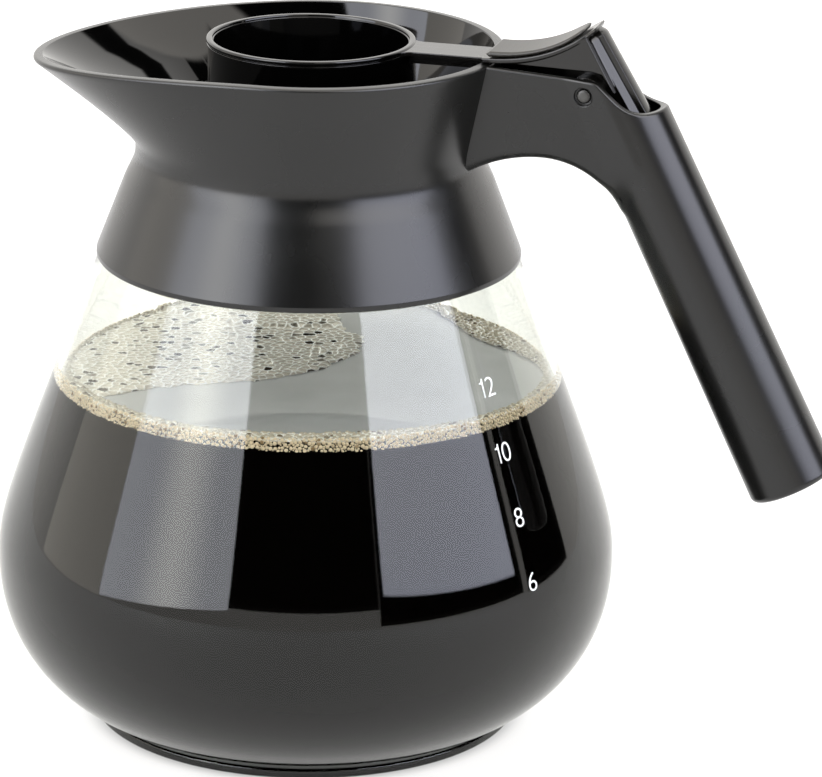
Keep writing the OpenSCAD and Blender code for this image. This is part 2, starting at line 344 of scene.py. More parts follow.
def glass_material():
    """Clear borosilicate, a little green where it is thick. It lets lamps through, so what is inside is lit."""
    m, t = new_material("clear_glass")
    streak = t.noise(16.0, 2.0)
    normal = t.bump(streak, 0.012, 0.0006)
    glass = t.add("ShaderNodeBsdfGlass", {"Color": rgba(0.947, 0.95, 0.935), "Roughness": 0.0, "IOR": 1.48,
                                          "Normal": normal}).outputs[0]
    through = t.add("ShaderNodeBsdfTransparent", {"Color": rgba(0.93, 0.95, 0.94)}).outputs[0]
    path = t.add("ShaderNodeLightPath")
    mixed = t.add("ShaderNodeMixShader", {0: path.outputs["Is Shadow Ray"], 1: glass, 2: through}).outputs[0]
    volume = t.add("ShaderNodeVolumeAbsorption", {"Color": rgba(0.55, 0.8, 0.72), "Density": 22.0}).outputs[0]
    t.finish(mixed, volume)
    return m


def coffee_material(name, colour, ior, rough):
    m, t = new_material(name)
    cloud = t.noise(30.0, 3.0)
    base = t.mix(t.ramp(cloud, 0.3, 0.7), rgba(*(0.9 * c for c in colour)), rgba(*(1.1 * c for c in colour)))
    ripple = t.bump(t.noise(60.0, 2.0), 0.01, 0.0002)
    sockets = {"Base Color": base, "Roughness": rough, "IOR": ior, "Normal": ripple}
    t.finish(t.add("ShaderNodeBsdfPrincipled", sockets).outputs[0])
    return m


def foam_material(name, core, open_core, wall, rough=0.2):
    """Bubbles: the attribute film runs from 0 at a bubble's crown to 1 at its foot, and tint differs from bubble
    to bubble. The few with the highest tint are open and look dark inside. A domed bubble's foot is coloured
    lighter than its crown: partly the whiter liquid where bubbles meet, partly a painted reflection at its rim."""
    m, t = new_material(name)
    film = t.add("ShaderNodeAttribute", attribute_name="film").outputs["Fac"]
    tint = t.add("ShaderNodeAttribute", attribute_name="tint").outputs["Fac"]
    middle = t.mix(t.ramp(tint, 0.72, 0.95), rgba(*core), rgba(*open_core))
    # lighter towards a domed bubble's foot: its whiter liquid, together with a painted reflection round its rim
    base = t.mix(t.ramp(film, 0.45, 0.9), middle, rgba(*wall))
    pits = t.bump(t.noise(4200.0, 2.0), 0.15, 0.00006)
    sockets = {"Base Color": base, "Roughness": rough, "Normal": pits, "IOR": 1.34}
    t.finish(t.add("ShaderNodeBsdfPrincipled", sockets).outputs[0])
    return m


def print_material():
    m, t = new_material("white_print")
    wear = t.noise(900.0, 4.0)
    base = t.mix(t.ramp(wear, 0.35, 0.75), rgba(0.9, 0.93, 0.93), rgba(0.78, 0.82, 0.82))
    t.finish(t.add("ShaderNodeBsdfPrincipled", {"Base Color": base, "Roughness": 0.35,
                                                "Normal": t.bump(wear, 0.2, 0.00005)}).outputs[0])
    return m


def floor_material():
    m, t = new_material("pale_floor")
    base = t.mix(t.noise(6.0, 3.0), rgba(0.13, 0.13, 0.13), rgba(0.15, 0.15, 0.15))
    away = t.add("ShaderNodeVectorMath", {0: t.place()}, operation="LENGTH").outputs["Value"]
    # the floor glows evenly away from the jug, so no shadow shows on it; under the jug the glow fades out, a painted
    # shade beneath the foot
    glow_with_painted_shade_under_jug = t.ramp(away, 0.048, 0.06, 0.0, 0.9)
    t.finish(t.add("ShaderNodeBsdfPrincipled", {"Base Color": base, "Roughness": 0.6, "IOR": 1.2,
                                                "Emission Color": rgba(1.0, 0.99, 0.975),
                                                "Emission Strength": glow_with_painted_shade_under_jug}).outputs[0])
    return m


SATIN = plastic("satin_black", (0.0032, 0.0033, 0.0030), 0.27, 0.12, ior=1.53)
GLOSS = plastic("gloss_black", (0.0012, 0.0012, 0.0012), 0.05, 0.012)
LEVER = plastic("lever_black", (0.0045, 0.0040, 0.0034), 0.2, 0.08, ior=1.55)
PAD = plastic("pad_grip", (0.018, 0.0165, 0.014), 0.36, 0.2, 1800.0)
PIN = plastic("pin_grey", (0.045, 0.044, 0.041), 0.36, 0.3, 1500.0)
SEAL = plastic("seal_silicone", (0.5, 0.49, 0.46), 0.5, 0.1)
GLASS = glass_material()
# the top of the coffee is coloured a neutral light grey: a painted reflection of the bright studio on the dark coffee
COFFEE_TOP_PAINTED_REFLECTION = coffee_material("coffee_surface_painted_reflection", (0.38, 0.375, 0.37), 1.14, 0.03)
COFFEE_SIDE = coffee_material("coffee_at_glass", (0.0008, 0.0006, 0.0005), 1.08, 0.05)
BUBBLE_SMALL = foam_material("foam_small_painted_rim_sheen", (0.74, 0.61, 0.42), (0.26, 0.17, 0.08), (0.87, 0.77, 0.59))
BUBBLE_LARGE = foam_material("foam_large_painted_rim_sheen", (0.5, 0.44, 0.34), (0.14, 0.1, 0.06), (0.95, 0.91, 0.82))
FROTH = foam_material("froth_cells", (0.66, 0.6, 0.5), (0.06, 0.045, 0.03), (1.0, 0.98, 0.93), 0.25)
PRINT = print_material()


# ---------------------------------------------------------------- glass and coffee
def globe_profile(wall):
    """Glass profile from the heel to the neck, (radius, height), set in by wall from the outside."""
    heel = np.array([FOOT_R - 2.9, 2.5])
    slope = np.array([CONE_SLOPE, 1.0])
    foot = SHOULDER - 37.6 * slope
    inset = np.array([wall, 0.0])
    low = bezier(heel, heel + [7.8, 1.3], [BOWL_R, BOWL_MID - 26.6], [BOWL_R, BOWL_MID], 40)
    if wall:
        low = bezier([0.01, 4.2], [55, 4.2], [BOWL_R - wall, BOWL_MID - 24], [BOWL_R - wall, BOWL_MID], 48)
    high = bezier(np.array([BOWL_R, BOWL_MID]) - inset, np.array([BOWL_R, BOWL_MID + 7.8]) - inset,
                  foot - 30 * slope - inset, foot - inset, 30)
    cone = np.linspace(foot - inset, SHOULDER - inset, 14)
    neck = NECK_R - wall
    shoulder = bezier(SHOULDER - inset, SHOULDER + 3 * slope - inset, [neck, 132], [neck, 143.5], 24)
    return np.concatenate([low, high[1:], cone[1:], shoulder[1:]])


OUTER_GLOBE = globe_profile(0.0)
INNER_GLOBE = globe_profile(WALL)


def inner_radius(z):
    return np.interp(z, INNER_GLOBE[:, 1], INNER_GLOBE[:, 0])


def outer_radius(z):
    return np.interp(z, OUTER_GLOBE[:, 1], OUTER_GLOBE[:, 0])


def build_glass():
    foot = filleted([(0, 0.8, 0), (FOOT_R - 7, 0.8, 2), (FOOT_R - 4.5, 0, 1.5), (FOOT_R + 0.7, 0, 1.0),
                     (FOOT_R + 0.5, 2.5, 0.6), (FOOT_R - 2.9, 2.5, 0)], 6)
    lip = filleted([(NECK_R, 143.5, 0), (NECK_R, 147, 2), (40.3, 149.4, 1), (40.3, LIP_Z, 1.4),
                    (NECK_R - WALL, LIP_Z, 0.8), (NECK_R - WALL, 143.5, 0)], 6)
    profile = np.concatenate([foot[:-1], OUTER_GLOBE, lip[1:-1], INNER_GLOBE[::-1], [[0, 4.2]]])
    profile[0, 0] = 0.0
    jug = turned("jug_glass", profile, "jug", [GLASS], 256, 60)
    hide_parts("glass_jug")
    return jug


def build_coffee():
    """The coffee reaches a little way into the glass, so that no film of air shows between them. Behind the band
    of froth at its edge it stands back a little, so that the froth lies against the glass."""
    side = INNER_GLOBE[INNER_GLOBE[:, 1] < COFFEE_Z - 2.5]
    side = np.concatenate([side, [[inner_radius(z), z] for z in (COFFEE_Z - 2.2, COFFEE_Z - 1.9, COFFEE_Z)]])
    side[:, 0] += np.where(side[:, 1] < COFFEE_Z - 2.1, 0.25, -0.6)
    side[:, 1] -= 0.25 * np.clip(1 - side[:, 1] / 20, 0, 1)
    rim = side[-1][0]
    top = filleted([(rim, COFFEE_Z, 0), (rim - 0.2, COFFEE_Z + 0.5, 0.1), (rim - 1.2, COFFEE_Z + 0.05, 1.0),
                    (rim - 6, COFFEE_Z, 4), (0, COFFEE_Z, 0)], 6)[1:]
    profile = np.concatenate([[[0, side[0, 1]]], side[1:], top])
    profile[-1, 0] = 0.0
    edge = len(side)
    turned("coffee", profile, "jug", [COFFEE_SIDE, COFFEE_TOP_PAINTED_REFLECTION], 192, 50, lambda j: 1 if j >= edge - 1 else 0)


RAFT = [(-47, -49), (-31.6, -31.1), (-24.3, -25.2), (-9.1, -16.9), (4.5, -2.8), (9.6, 14.1), (7.6, 27.2),
        (1.2, 31.6), (-6, 46), (-10, 75), (-75, 75), (-75, -50)]


def in_froth(x, y):
    """Distance in from the edge of the raft of froth that covers the back left of the coffee."""
    wobble = 0.5 * np.sin(x * 0.7 + 1.0) * np.sin(y * 0.6) + 0.3 * np.sin(x * 1.7 - y * 1.3)
    return wobble - outline_distance(x, y, RAFT)


def dome(rings, spokes):
    """Unit dome: points, faces and how far each point is down from the crown, 0 to 1."""
    points, film = [(0, 0, 1)], [0.0]
    for i in range(1, rings + 1):
        a = i / rings * math.radians(105)
        for k in range(spokes):
            b = 2 * math.pi * (k + 0.5 * (i % 2)) / spokes
            points.append((math.sin(a) * math.cos(b), math.sin(a) * math.sin(b), math.cos(a)))
            film.append(i / rings)
    faces = [(0, 1 + k, 1 + (k + 1) % spokes) for k in range(spokes)]
    for i in range(rings - 1):
        a, b = 1 + i * spokes, 1 + (i + 1) * spokes
        for k in range(spokes):
            n = (k + 1) % spokes
            if i % 2 == 0:
                faces += [(a + k, b + k, a + n), (a + n, b + k, b + n)]
            else:
                faces += [(a + k, b + k, b + n), (a + k, b + n, a + n)]
    return np.array(points, float), np.array(faces), np.array(film)


def set_attributes(obj, **values_by_name):
    """Gives a mesh's points their attributes, such as film and tint, which the foam materials read."""
    for key, values in values_by_name.items():
        attribute = obj.data.attributes.new(key, "FLOAT", "POINT")
        attribute.data.foreach_set("value", values.astype(np.float32))


def bubbles(name, centres, radii, ups, material, seed, rings, spokes, height=1.0):
    """Many bubbles in one mesh: each is a dome that faces its own up direction, and height times as tall as round."""
    unit, faces, film = dome(rings, spokes)
    draw = np.random.default_rng(seed)
    n = len(centres)
    ups = ups / np.linalg.norm(ups, axis=1)[:, None]
    side = np.cross(ups, np.where(np.abs(ups[:, 2:3]) > 0.9, [[1.0, 0, 0]], [[0, 0, 1.0]]))
    side /= np.linalg.norm(side, axis=1)[:, None]
    other = np.cross(ups, side)
    spin = draw.uniform(0, 2 * math.pi, n)
    a = side * np.cos(spin)[:, None] + other * np.sin(spin)[:, None]
    b = np.cross(ups, a)
    squash = draw.uniform(0.8, 1.1, (n, 1, 1))
    points = (unit[None, :, 0:1] * a[:, None] * squash + unit[None, :, 1:2] * b[:, None]
              + height * unit[None, :, 2:3] * ups[:, None]) * radii[:, None, None] + centres[:, None]
    all_faces = (faces[None] + (np.arange(n) * len(unit))[:, None, None]).reshape(-1, 3)
    obj = new_object(name, points.reshape(-1, 3), all_faces.tolist(), "jug", [material])
    set_attributes(obj, film=np.tile(film, n), tint=np.repeat(draw.uniform(0, 1, n) ** 2, len(unit)))


def scatter(count, draw, span):
    """Random points (x, y, 0) inside a circle of radius span."""
    a, r = draw.uniform(0, 2 * math.pi, count), span * np.sqrt(draw.uniform(0, 1, count))
    return np.stack([r * np.cos(a), r * np.sin(a), np.zeros(count)], 1)


def spaced(points, radii, share):
    """Drops each bubble that sits too deep in an earlier, larger one. share is 2 where they may only touch."""
    order = np.argsort(-radii)
    points, radii = points[order], radii[order]
    cell = radii.max() * 2
    buckets, kept = {}, []
    for i, (p, r) in enumerate(zip(points, radii)):
        key = tuple((p // cell).astype(int))
        near = [j for dx in (-1, 0, 1) for dy in (-1, 0, 1) for dz in (-1, 0, 1)
                for j in buckets.get((key[0] + dx, key[1] + dy, key[2] + dz), ())]
        if all(((points[j] - p) ** 2).sum() > ((radii[j] + r) * share / 2) ** 2 for j in near):
            buckets.setdefault(key, []).append(i)
            kept.append(i)
    return points[kept], radii[kept]


def ring_width(a):
    """Width of the ring of froth against the glass in direction a (radians, 0 towards the handle)."""
    direction = np.degrees((a + math.pi) % (2 * math.pi) - math.pi)
    width = 2.2
    for extra, middle, spread in ((4.2, -70, 32), (9.5, 46, 20), (1.5, -125, 20)):  # where it swells
        width = width + extra * np.exp(-(((direction - middle) / spread) ** 2))
    return width


def foam_sheet(draw, wall):
    """Sheet of froth: a fine polar grid whose cells stand up at their walls, kept inside the raft or the ring."""
    turns, rings = 900, 210
    angles = np.linspace(0, 2 * math.pi, turns, endpoint=False)
    radii = np.linspace(0.4, wall - 0.15, rings)
    a, r = np.meshgrid(angles, radii, indexing="ij")
    x, y = r * np.cos(a), r * np.sin(a)
    ring = r - (wall - ring_width(a)) + 0.3 * np.sin(31 * a) + 0.2 * np.sin(67 * a + 1)
    cover = np.maximum(in_froth(x, y), ring)
    seeds = scatter(11000, draw, wall)
    spacing = 0.45 + 0.75 * draw.uniform(0, 1, len(seeds)) ** 1.6
    seeds, spacing = spaced(seeds, spacing, 1.9)
    tree = KDTree(len(seeds))
    for i, q in enumerate(seeds):
        tree.insert(q, i)
    tree.balance()
    film, tint = np.zeros(x.shape), np.zeros(x.shape)
    seed_tint = draw.uniform(0, 1, len(seeds)) * np.clip(spacing / 0.8, 0, 1)
    for i, j in zip(*np.nonzero(cover > -0.5)):
        (_, n, near), (_, _, far) = tree.find_n((x[i, j], y[i, j], 0.0), 2)
        film[i, j] = math.exp(-(((far - near) / 0.5) ** 2))
        tint[i, j] = seed_tint[n]
    lift = 0.6 * np.clip(cover / 1.5, 0, 1) ** 0.5
    z = COFFEE_Z - 0.2 + lift + 0.3 * film - 0.25 * np.where(tint > 0.75, 1 - film, 0)
    index = np.arange(turns * rings).reshape(turns, rings)
    onward = np.roll(index, -1, 0)
    quads = np.stack([index[:, :-1], index[:, 1:], onward[:, 1:], onward[:, :-1]], -1).reshape(-1, 4)
    quads = quads[(cover.reshape(-1)[quads] > 0).all(1)]
    used, quads = np.unique(quads, return_inverse=True)
    points = np.stack([x, y, z], -1).reshape(-1, 3)[used]
    sheet = new_object("foam_sheet", points, quads.reshape(-1, 4).tolist(), "jug", [FROTH])
    set_attributes(sheet, film=film.reshape(-1)[used], tint=tint.reshape(-1)[used])
    rim = sheet.modifiers.new("thickness", "SOLIDIFY")
    rim.thickness, rim.offset = 0.5 * MM, -1.0


def ring_bubbles(draw, wall):
    """Bubbles on the surface along the glass, largest against it."""
    count = 9000
    a = draw.uniform(0, 2 * math.pi, count)
    width = ring_width(a)
    share = draw.uniform(0, 1, count)
    r = wall - 0.9 - share * np.maximum(width - 1.0, 0.2)
    size = 0.35 + 0.6 * draw.uniform(0, 1, count) ** 1.6 * (1 - 0.5 * share)
    centres = np.column_stack([r * np.cos(a), r * np.sin(a), COFFEE_Z + 0.3 + 0.25 * draw.uniform(0, 1, count)])
    centres, size = spaced(centres, size, 1.7)
    up = np.tile([0.0, 0.0, 1.0], (len(centres), 1))
    up[:, :2] += draw.normal(0, 0.1, (len(centres), 2))
    bubbles("foam_ring_bubbles", centres, size, up, BUBBLE_LARGE, 4, 4, 9, 0.85)


def wall_bubbles(draw):
    """Fine bubbles packed against the glass, with a ragged lower edge."""
    count = 30000
    a = draw.uniform(0, 2 * math.pi, count)
    ragged = 0.5 * np.sin(a * 37 + 2 * np.sin(a * 11)) + 0.35 * np.sin(a * 83 + 1.0) + 0.25 * np.sin(a * 171)
    low, high = COFFEE_Z - 2.3 + 0.55 * ragged, COFFEE_Z + 0.7
    z = low + (high - low) * draw.uniform(0, 1, count) ** 0.85
    size = 0.22 + 0.36 * draw.uniform(0, 1, count) ** 2
    r = inner_radius(z) - 0.6 * size
    centres = np.column_stack([r * np.cos(a), r * np.sin(a), z])
    centres, size = spaced(centres, size, 1.6)
    outward = centres * [1, 1, 0]
    outward /= np.linalg.norm(outward, axis=1)[:, None]
    bubbles("foam_wall_bubbles", centres, size, outward + [0, 0, 0.2], BUBBLE_SMALL, 5, 3, 7)


def build_foam():
    draw = np.random.default_rng(11)
    wall = float(inner_radius(COFFEE_Z))
    foam_sheet(draw, wall)
    ring_bubbles(draw, wall)
    wall_bubbles(draw)


ONE = [(0.17, 0), (0.27, 0), (0.27, 1), (0.2, 1), (0.17, 0.88), (0.1, 0.82), (0.0, 0.8), (0.0, 0.72), (0.17, 0.72)]


def numeral(character):
    """Flat outline of a digit, one unit tall, its left edge at 0: points, faces and width."""
    if character == "1":
        return np.array(ONE), [tuple(range(len(ONE)))], 0.3
    curve = bpy.data.curves.new("digit", "FONT")
    curve.body, curve.size, curve.offset, curve.resolution_u = character, 1.0, -0.012, 6
    source = bpy.data.objects.new("digit", curve)
    bpy.context.scene.collection.objects.link(source)
    bpy.context.view_layer.update()
    mesh = bpy.data.meshes.new_from_object(source.evaluated_get(bpy.context.evaluated_depsgraph_get()))
    points = np.array([v.co[:2] for v in mesh.vertices])
    faces = [tuple(p.vertices) for p in mesh.polygons]
    bpy.data.objects.remove(source)
    bpy.data.curves.remove(curve)
    bpy.data.meshes.remove(mesh)
    points -= points.min(0)
    points /= points[:, 1].max()
    return points, faces, points[:, 0].max()


def build_marks():
    """Cup numbers printed on the glass, up its right-hand side, wrapped on to the cone."""
    height, azimuth, top, pitch = 4.9, math.radians(-28.0), 100.0, 15.63
    for k, label in enumerate(("12", "10", "8", "6")):
        flat, faces, reach = [], [], 0.0
        for character in label:
            points, polygons, width = numeral(character)
            start = sum(len(f) for f in flat)
            faces += [tuple(v + start for v in f) for f in polygons]
            flat.append(points + [reach, 0])
            reach += width + 0.14
        flat = (np.concatenate(flat) - [(reach - 0.14) / 2, 0.5]) * height
        z = top - k * pitch + flat[:, 1] * math.cos(math.atan(-CONE_SLOPE))
        r = outer_radius(z) + 0.05
        a = azimuth + flat[:, 0] / r
        points = np.stack([r * np.cos(a), r * np.sin(a), z], 1)
        mark = new_object(f"cup_mark_{label}", points, faces, "jug", [PRINT])
        ink = mark.modifiers.new("ink", "SOLIDIFY")
        ink.thickness, ink.offset = 0.04 * MM, 1.0


# ---------------------------------------------------------------- collar
def rim_radius(a):
    if math.cos(a) >= 0:
        return RIM_R
    return 1 / math.hypot(math.cos(a) / SPOUT_REACH, math.sin(a) / RIM_R)


def rim_height(a):
    return RIM_Z - SPOUT_DROOP * (max(0, -math.cos(a) * rim_radius(a)) / SPOUT_REACH) ** 1.63


def skirt_curve():
    return bezier([47, 141.4], [46, 144], [WAIST_R, 146.5], [WAIST_R, 149.5], 12)


def collar_section(a):
    """The collar's closed section in direction a, and how many of its first points are outside."""
    waist = np.array([WAIST_R, WAIST_Z])
    rim = np.array([rim_radius(a), rim_height(a)])
    flare = (rim - waist) / np.linalg.norm(rim - waist)
    land = 2.8 + 1.2 * max(0, -math.cos(a)) ** 3
    foot = np.array([41.3, 158.0])
    lip = rim - [land, 0.0]
    skirt = filleted([(SKIRT_R - 0.55, SKIRT_Z, 0), (SKIRT_R, SKIRT_Z, 0.5), (SKIRT_R - 0.05, SKIRT_Z + 1.4, 0.8),
                      (47, 141.4, 0)], 4)
    bend = bezier(waist - [0, 2], waist - [0, 0.4], waist + flare, waist + 4.5 * flare, 8)
    side = np.linspace(waist + 4.5 * flare, rim, 10)[1:-1]
    edge = filleted([(*side[-1], 0), (*rim, 0.7), (*(lip + [0, 0.15]), 0.35), (*(lip + 0.2 * (foot - lip)), 0)], 6)
    inner = np.linspace(lip + 0.2 * (foot - lip), foot + 0.25 * (lip - foot), 6)[1:]
    throat = filleted([(*inner[-1], 0), (*foot, 3), (41.3, 155.8, 0.6), (35.5, 155.8, 0.6), (35.5, 153.3, 0.3),
                       (41.3, 153.3, 0), (41.3, 145.2, 0), (42.1, 144.8, 0), (42.1, 143.2, 0), (41.4, 142.6, 0),
                       (41.9, 140.4, 2), (51.1, 124.6, 2), (53.4, SKIRT_Z, 0)], 4)
    outside = np.concatenate([skirt[:-1], skirt_curve(), bend, side, edge[1:9]])
    inside = np.concatenate([edge[9:-1], inner[:-1], throat[1:]])
    return np.concatenate([outside, inside]), len(outside)


def build_collar():
    steps = 240
    sections, outside = [], 0
    for i in range(steps):
        a = 2 * math.pi * i / steps
        profile, outside = collar_section(a)
        sections.append(np.stack([profile[:, 0] * math.cos(a), profile[:, 0] * math.sin(a), profile[:, 1]], 1))
    points, faces = swept(sections, True)
    m = len(sections[0])
    picks = [0 if j < outside or j > m - 12 else 1 for _ in range(steps) for j in range(m)]
    collar = new_object("collar", points, faces, "jug", [SATIN, GLOSS], 40, picks)
    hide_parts("pour_collar")


# ---------------------------------------------------------------- handle
def tube_coordinates(x, y, z):
    """How far down the grip tube's axis a point is, and how far from the axis."""
    dx, dz = x - TUBE_POINT[0], z - TUBE_POINT[1]
    s = dx * math.sin(TUBE_TILT) - dz * math.cos(TUBE_TILT)
    q = dx * math.cos(TUBE_TILT) + dz * math.sin(TUBE_TILT)
    return s, np.hypot(q, y)


def tube_radius(s):
    return TUBE_MOUTH_R + (TUBE_END_R - TUBE_MOUTH_R) * (s - TUBE_MOUTH_S) / (TUBE_END_S - TUBE_MOUTH_S)


CROWN = (61.8, 153.8)  # highest point of the arch under the bridge
ARCH_R, ARCH_ROOT_R = 23.2, 36.0


def arch_void(x, z):
    """Distance to the open space under the bridge: a tight arc towards the tube, a flatter one towards the collar."""
    tight = np.hypot(x - CROWN[0], z - CROWN[1] + ARCH_R) - ARCH_R
    flat = np.hypot(x - CROWN[0], z - CROWN[1] + ARCH_ROOT_R) - ARCH_ROOT_R
    return np.where(x > CROWN[0], tight, flat)


def collar_side_radius(z):
    """Outer radius of the collar on the handle side."""
    profile, outside = collar_section(0.0)
    edge = profile[:outside]
    order = np.argsort(edge[:, 1])
    return np.interp(z, edge[order, 1], edge[order, 0])


# outline of what is cut away above the cheeks: a shallow slope, then a dip for the lever's spine
TOP_LINE = np.concatenate([[[30, 176.9], [48, 176.2]], arc([74.1, 171.1], 3.5, 88, 47.8, 8),
                           arc([88, 177.8], 10.8, 227.8, 292, 20),
                           [[96, 169.6], [112, 169.6], [112, 200], [30, 200]]])
# the slot between the cheeks, which stops 2.6 mm above the arch
CHANNEL = np.concatenate([[[36, 153.4], [36, 190], [68.6, 190], [88.6, 150], [84, 147.5]],
                          arc([CROWN[0], CROWN[1] - ARCH_R + 2.6], ARCH_R, 28, 90, 14),
                          arc([CROWN[0], CROWN[1] - ARCH_ROOT_R + 2.6], ARCH_ROOT_R, 91, 110, 6)])


def handle_field(x, y, z):
    s, rho = tube_coordinates(x, y, z)
    tube = both(rho - tube_radius(s), s - TUBE_END_S, 1.5)
    sink = np.clip((s + 17) / 15, 0, 1)
    cheek = np.abs(y) - CHEEK_HALF + 5.2 * sink * sink * (3 - 2 * sink)
    plate = both(cheek, -arch_void(x, z), 2.6)
    reach = [[30, 140], [30, 186], [72, 183], [95.1, 137], [82.6, 141.2]]
    plate = both(plate, outline_distance(x, z, reach), 0.6)
    solid = either(plate, tube, 2.4)
    solid = without(solid, outline_distance(x, z, TOP_LINE), 0.55)
    channel = both(outline_distance(x, z, CHANNEL), np.abs(y) - LEVER_HALF - 0.3, 0.6)
    solid = without(solid, channel, 0.3)
    solid = without(solid, np.maximum(rho - tube_radius(s) + TUBE_WALL, -s - 60), 0.4)
    pin = np.hypot(x - PIN_X, z - PIN_Z)
    solid = without(solid, np.maximum(pin - 2.3, CHEEK_HALF - 0.8 - np.abs(y)), 0.2)
    solid = without(solid, pin - 1.72, 0.05)
    root = collar_side_radius(z) - 1.1 - np.hypot(x, y)
    return np.maximum(solid, root)


def build_handle():
    low, high = node_box("handle")
    handle = field_piece("handle_moulding", handle_field, low - 1.5, high + 1.5, 0.34,
                         "jug", [SATIN])
    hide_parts("handle")


def build_pin():
    """The pin lies along Y, its slightly domed ends a little below the cheeks."""
    half, radius, steps = CHEEK_HALF - 0.4, 1.66, 48
    profile = filleted([(0, -half - 0.15, 0), (1.0, -half - 0.1, 0.5), (radius, -half + 0.15, 0.3),
                        (radius, half - 0.15, 0.3), (1.0, half + 0.1, 0.5), (0, half + 0.15, 0)], 5)
    ring = profile[1:-1]
    sections = []
    for a in np.linspace(0, 2 * math.pi, steps, endpoint=False):
        x, z = PIN_X + ring[:, 0] * math.cos(a), PIN_Z - ring[:, 0] * math.sin(a)
        sections.append(np.stack([x, ring[:, 1], z], 1))
    points, faces = swept(sections, False)
    m = len(ring)
    points = np.concatenate([points, [[PIN_X, profile[0][1], PIN_Z], [PIN_X, profile[-1][1], PIN_Z]]])
    for i in range(steps):
        k = (i + 1) % steps
        faces += [(steps * m, k * m, i * m), (steps * m + 1, i * m + m - 1, k * m + m - 1)]
    pin = new_object("pin", points, faces, "jug", [PIN], 40)
    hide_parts("hinge_pin")


# ---------------------------------------------------------------- lid
LEDGE = bezier([46, 178], [60, 178], [67, 181.9], [74.2, 187.3], 24)
SPINE_TILT = math.radians(31)
SPINE_TOP = np.array([75.4, 186.2])
SPINE_OUT = np.array([math.cos(SPINE_TILT), math.sin(SPINE_TILT)])
SPINE_DOWN = np.array([math.sin(SPINE_TILT), -math.cos(SPINE_TILT)])
SPINE_LONG = 28.8


def end_plan(x, y, end, half, corner):
    """Distance to a plan shape that runs along x, half wide each side, with rounded corners at its end."""
    return both(x - end, np.abs(y) - half, corner)


def lever_field(x, y, z):
    side = np.abs(y)
    # ledge under the thumb pad, and the webs that hang from it on both sides of a hollow
    plate = outline_distance(x, z, np.concatenate([LEDGE, (LEDGE - [0, 1.2])[::-1]]))
    plate = both(plate, end_plan(x, y, 74.4, LEVER_HALF + 0.5, 5.0), 0.35)
    web = outline_distance(x, z, np.concatenate([[[46, 177]], LEDGE - [0, 0.6],
                                                 [[72.2, 185.0], [77.8, 175.0], [79.9, 171.2], [78.0, 173.6],
                                                  [76.4, 175.9], [73.8, 176.5], [56, 176.9]]]))
    web = both(web, side - LEVER_HALF, 0.3)
    hollow = outline_distance(x, z, np.concatenate([(LEDGE - [0, 1.6])[6:],
                                                    [[73, 183.2], [77.6, 174.6], [77.6, 170], [50, 170]]]))
    web = without(web, np.maximum(hollow, side - LEVER_HALF + 1.7), 0.2)
    # spine: a flange with chamfered edges, a fine groove, and a crowned back
    out = (x - SPINE_TOP[0]) * SPINE_OUT[0] + (z - SPINE_TOP[1]) * SPINE_OUT[1]
    down = (x - SPINE_TOP[0]) * SPINE_DOWN[0] + (z - SPINE_TOP[1]) * SPINE_DOWN[1]
    chamfer = math.radians(38)
    flange = np.maximum(side - 4.6, -3.6 - out)
    flange = both(flange, math.cos(chamfer) * (side - 4.6) + math.sin(chamfer) * (out + 3.5), 0.1)
    flange = np.maximum(flange, out + 1.2)
    flange = np.maximum(flange, -np.maximum(np.abs(side - 3.0) - 0.18, -2.1 - out))
    crown = both(np.hypot(out + 7.8, side) - 7.8, side - 2.85, 0.2)
    crown = np.maximum(crown, -3.6 - out)
    spine = both(np.minimum(flange, crown), np.maximum(down - SPINE_LONG, -down - 0.9), 2.4)
    gusset = np.maximum(outline_distance(x, z, [[64, 180], [70, 183.6], [73.9, 182.6], [81.9, 167.8], [79, 164.5],
                                                [76, 168], [69.5, 168]]), side - 3.2)
    boss = np.maximum(np.hypot(x - PIN_X, z - PIN_Z) - 4.2, side - LEVER_HALF)
    # flat arm, flared where it meets the sleeve, with a rib under it
    flare = 4 - np.sqrt(16 - np.clip(28.2 - x, 0, 3.9) ** 2)
    arm = np.maximum(np.maximum(x - 47.5, SLEEVE_R - 2.4 - x), side - ARM_HALF - flare)
    arm = both(arm, np.abs(z - 177.1) - 0.55, 0.22)
    rib = both(np.maximum(np.maximum(x - 44, SLEEVE_R - 0.6 - x), side - 1.2), np.maximum(173.6 - z, z - 177.2), 0.3)
    solid = either(either(plate, web, 0.4), spine, 0.35)
    solid = np.minimum(np.minimum(solid, gusset), boss)
    solid = either(solid, arm, 0.3)
    solid = either(solid, rib, 0.5)
    solid = without(solid, np.hypot(x - PIN_X, z - PIN_Z) - 1.75, 0.05)
    return np.maximum(solid, SLEEVE_R - 0.2 - np.hypot(x, y))


def pad_field(x, y, z):
    upper = bezier([47.9, 179.7], [60, 179.5], [66, 183.2], [71.5, 187], 20)
    lower = LEDGE[(LEDGE[:, 0] > 47) & (LEDGE[:, 0] < 71.5)] + [0, 0.25]
    outline = np.concatenate([lower, upper[::-1], [[46.9, 179.0]]])
    return both(outline_distance(x, z, outline), end_plan(x, y, 71.2, 7.6, 4.5), 0.9)


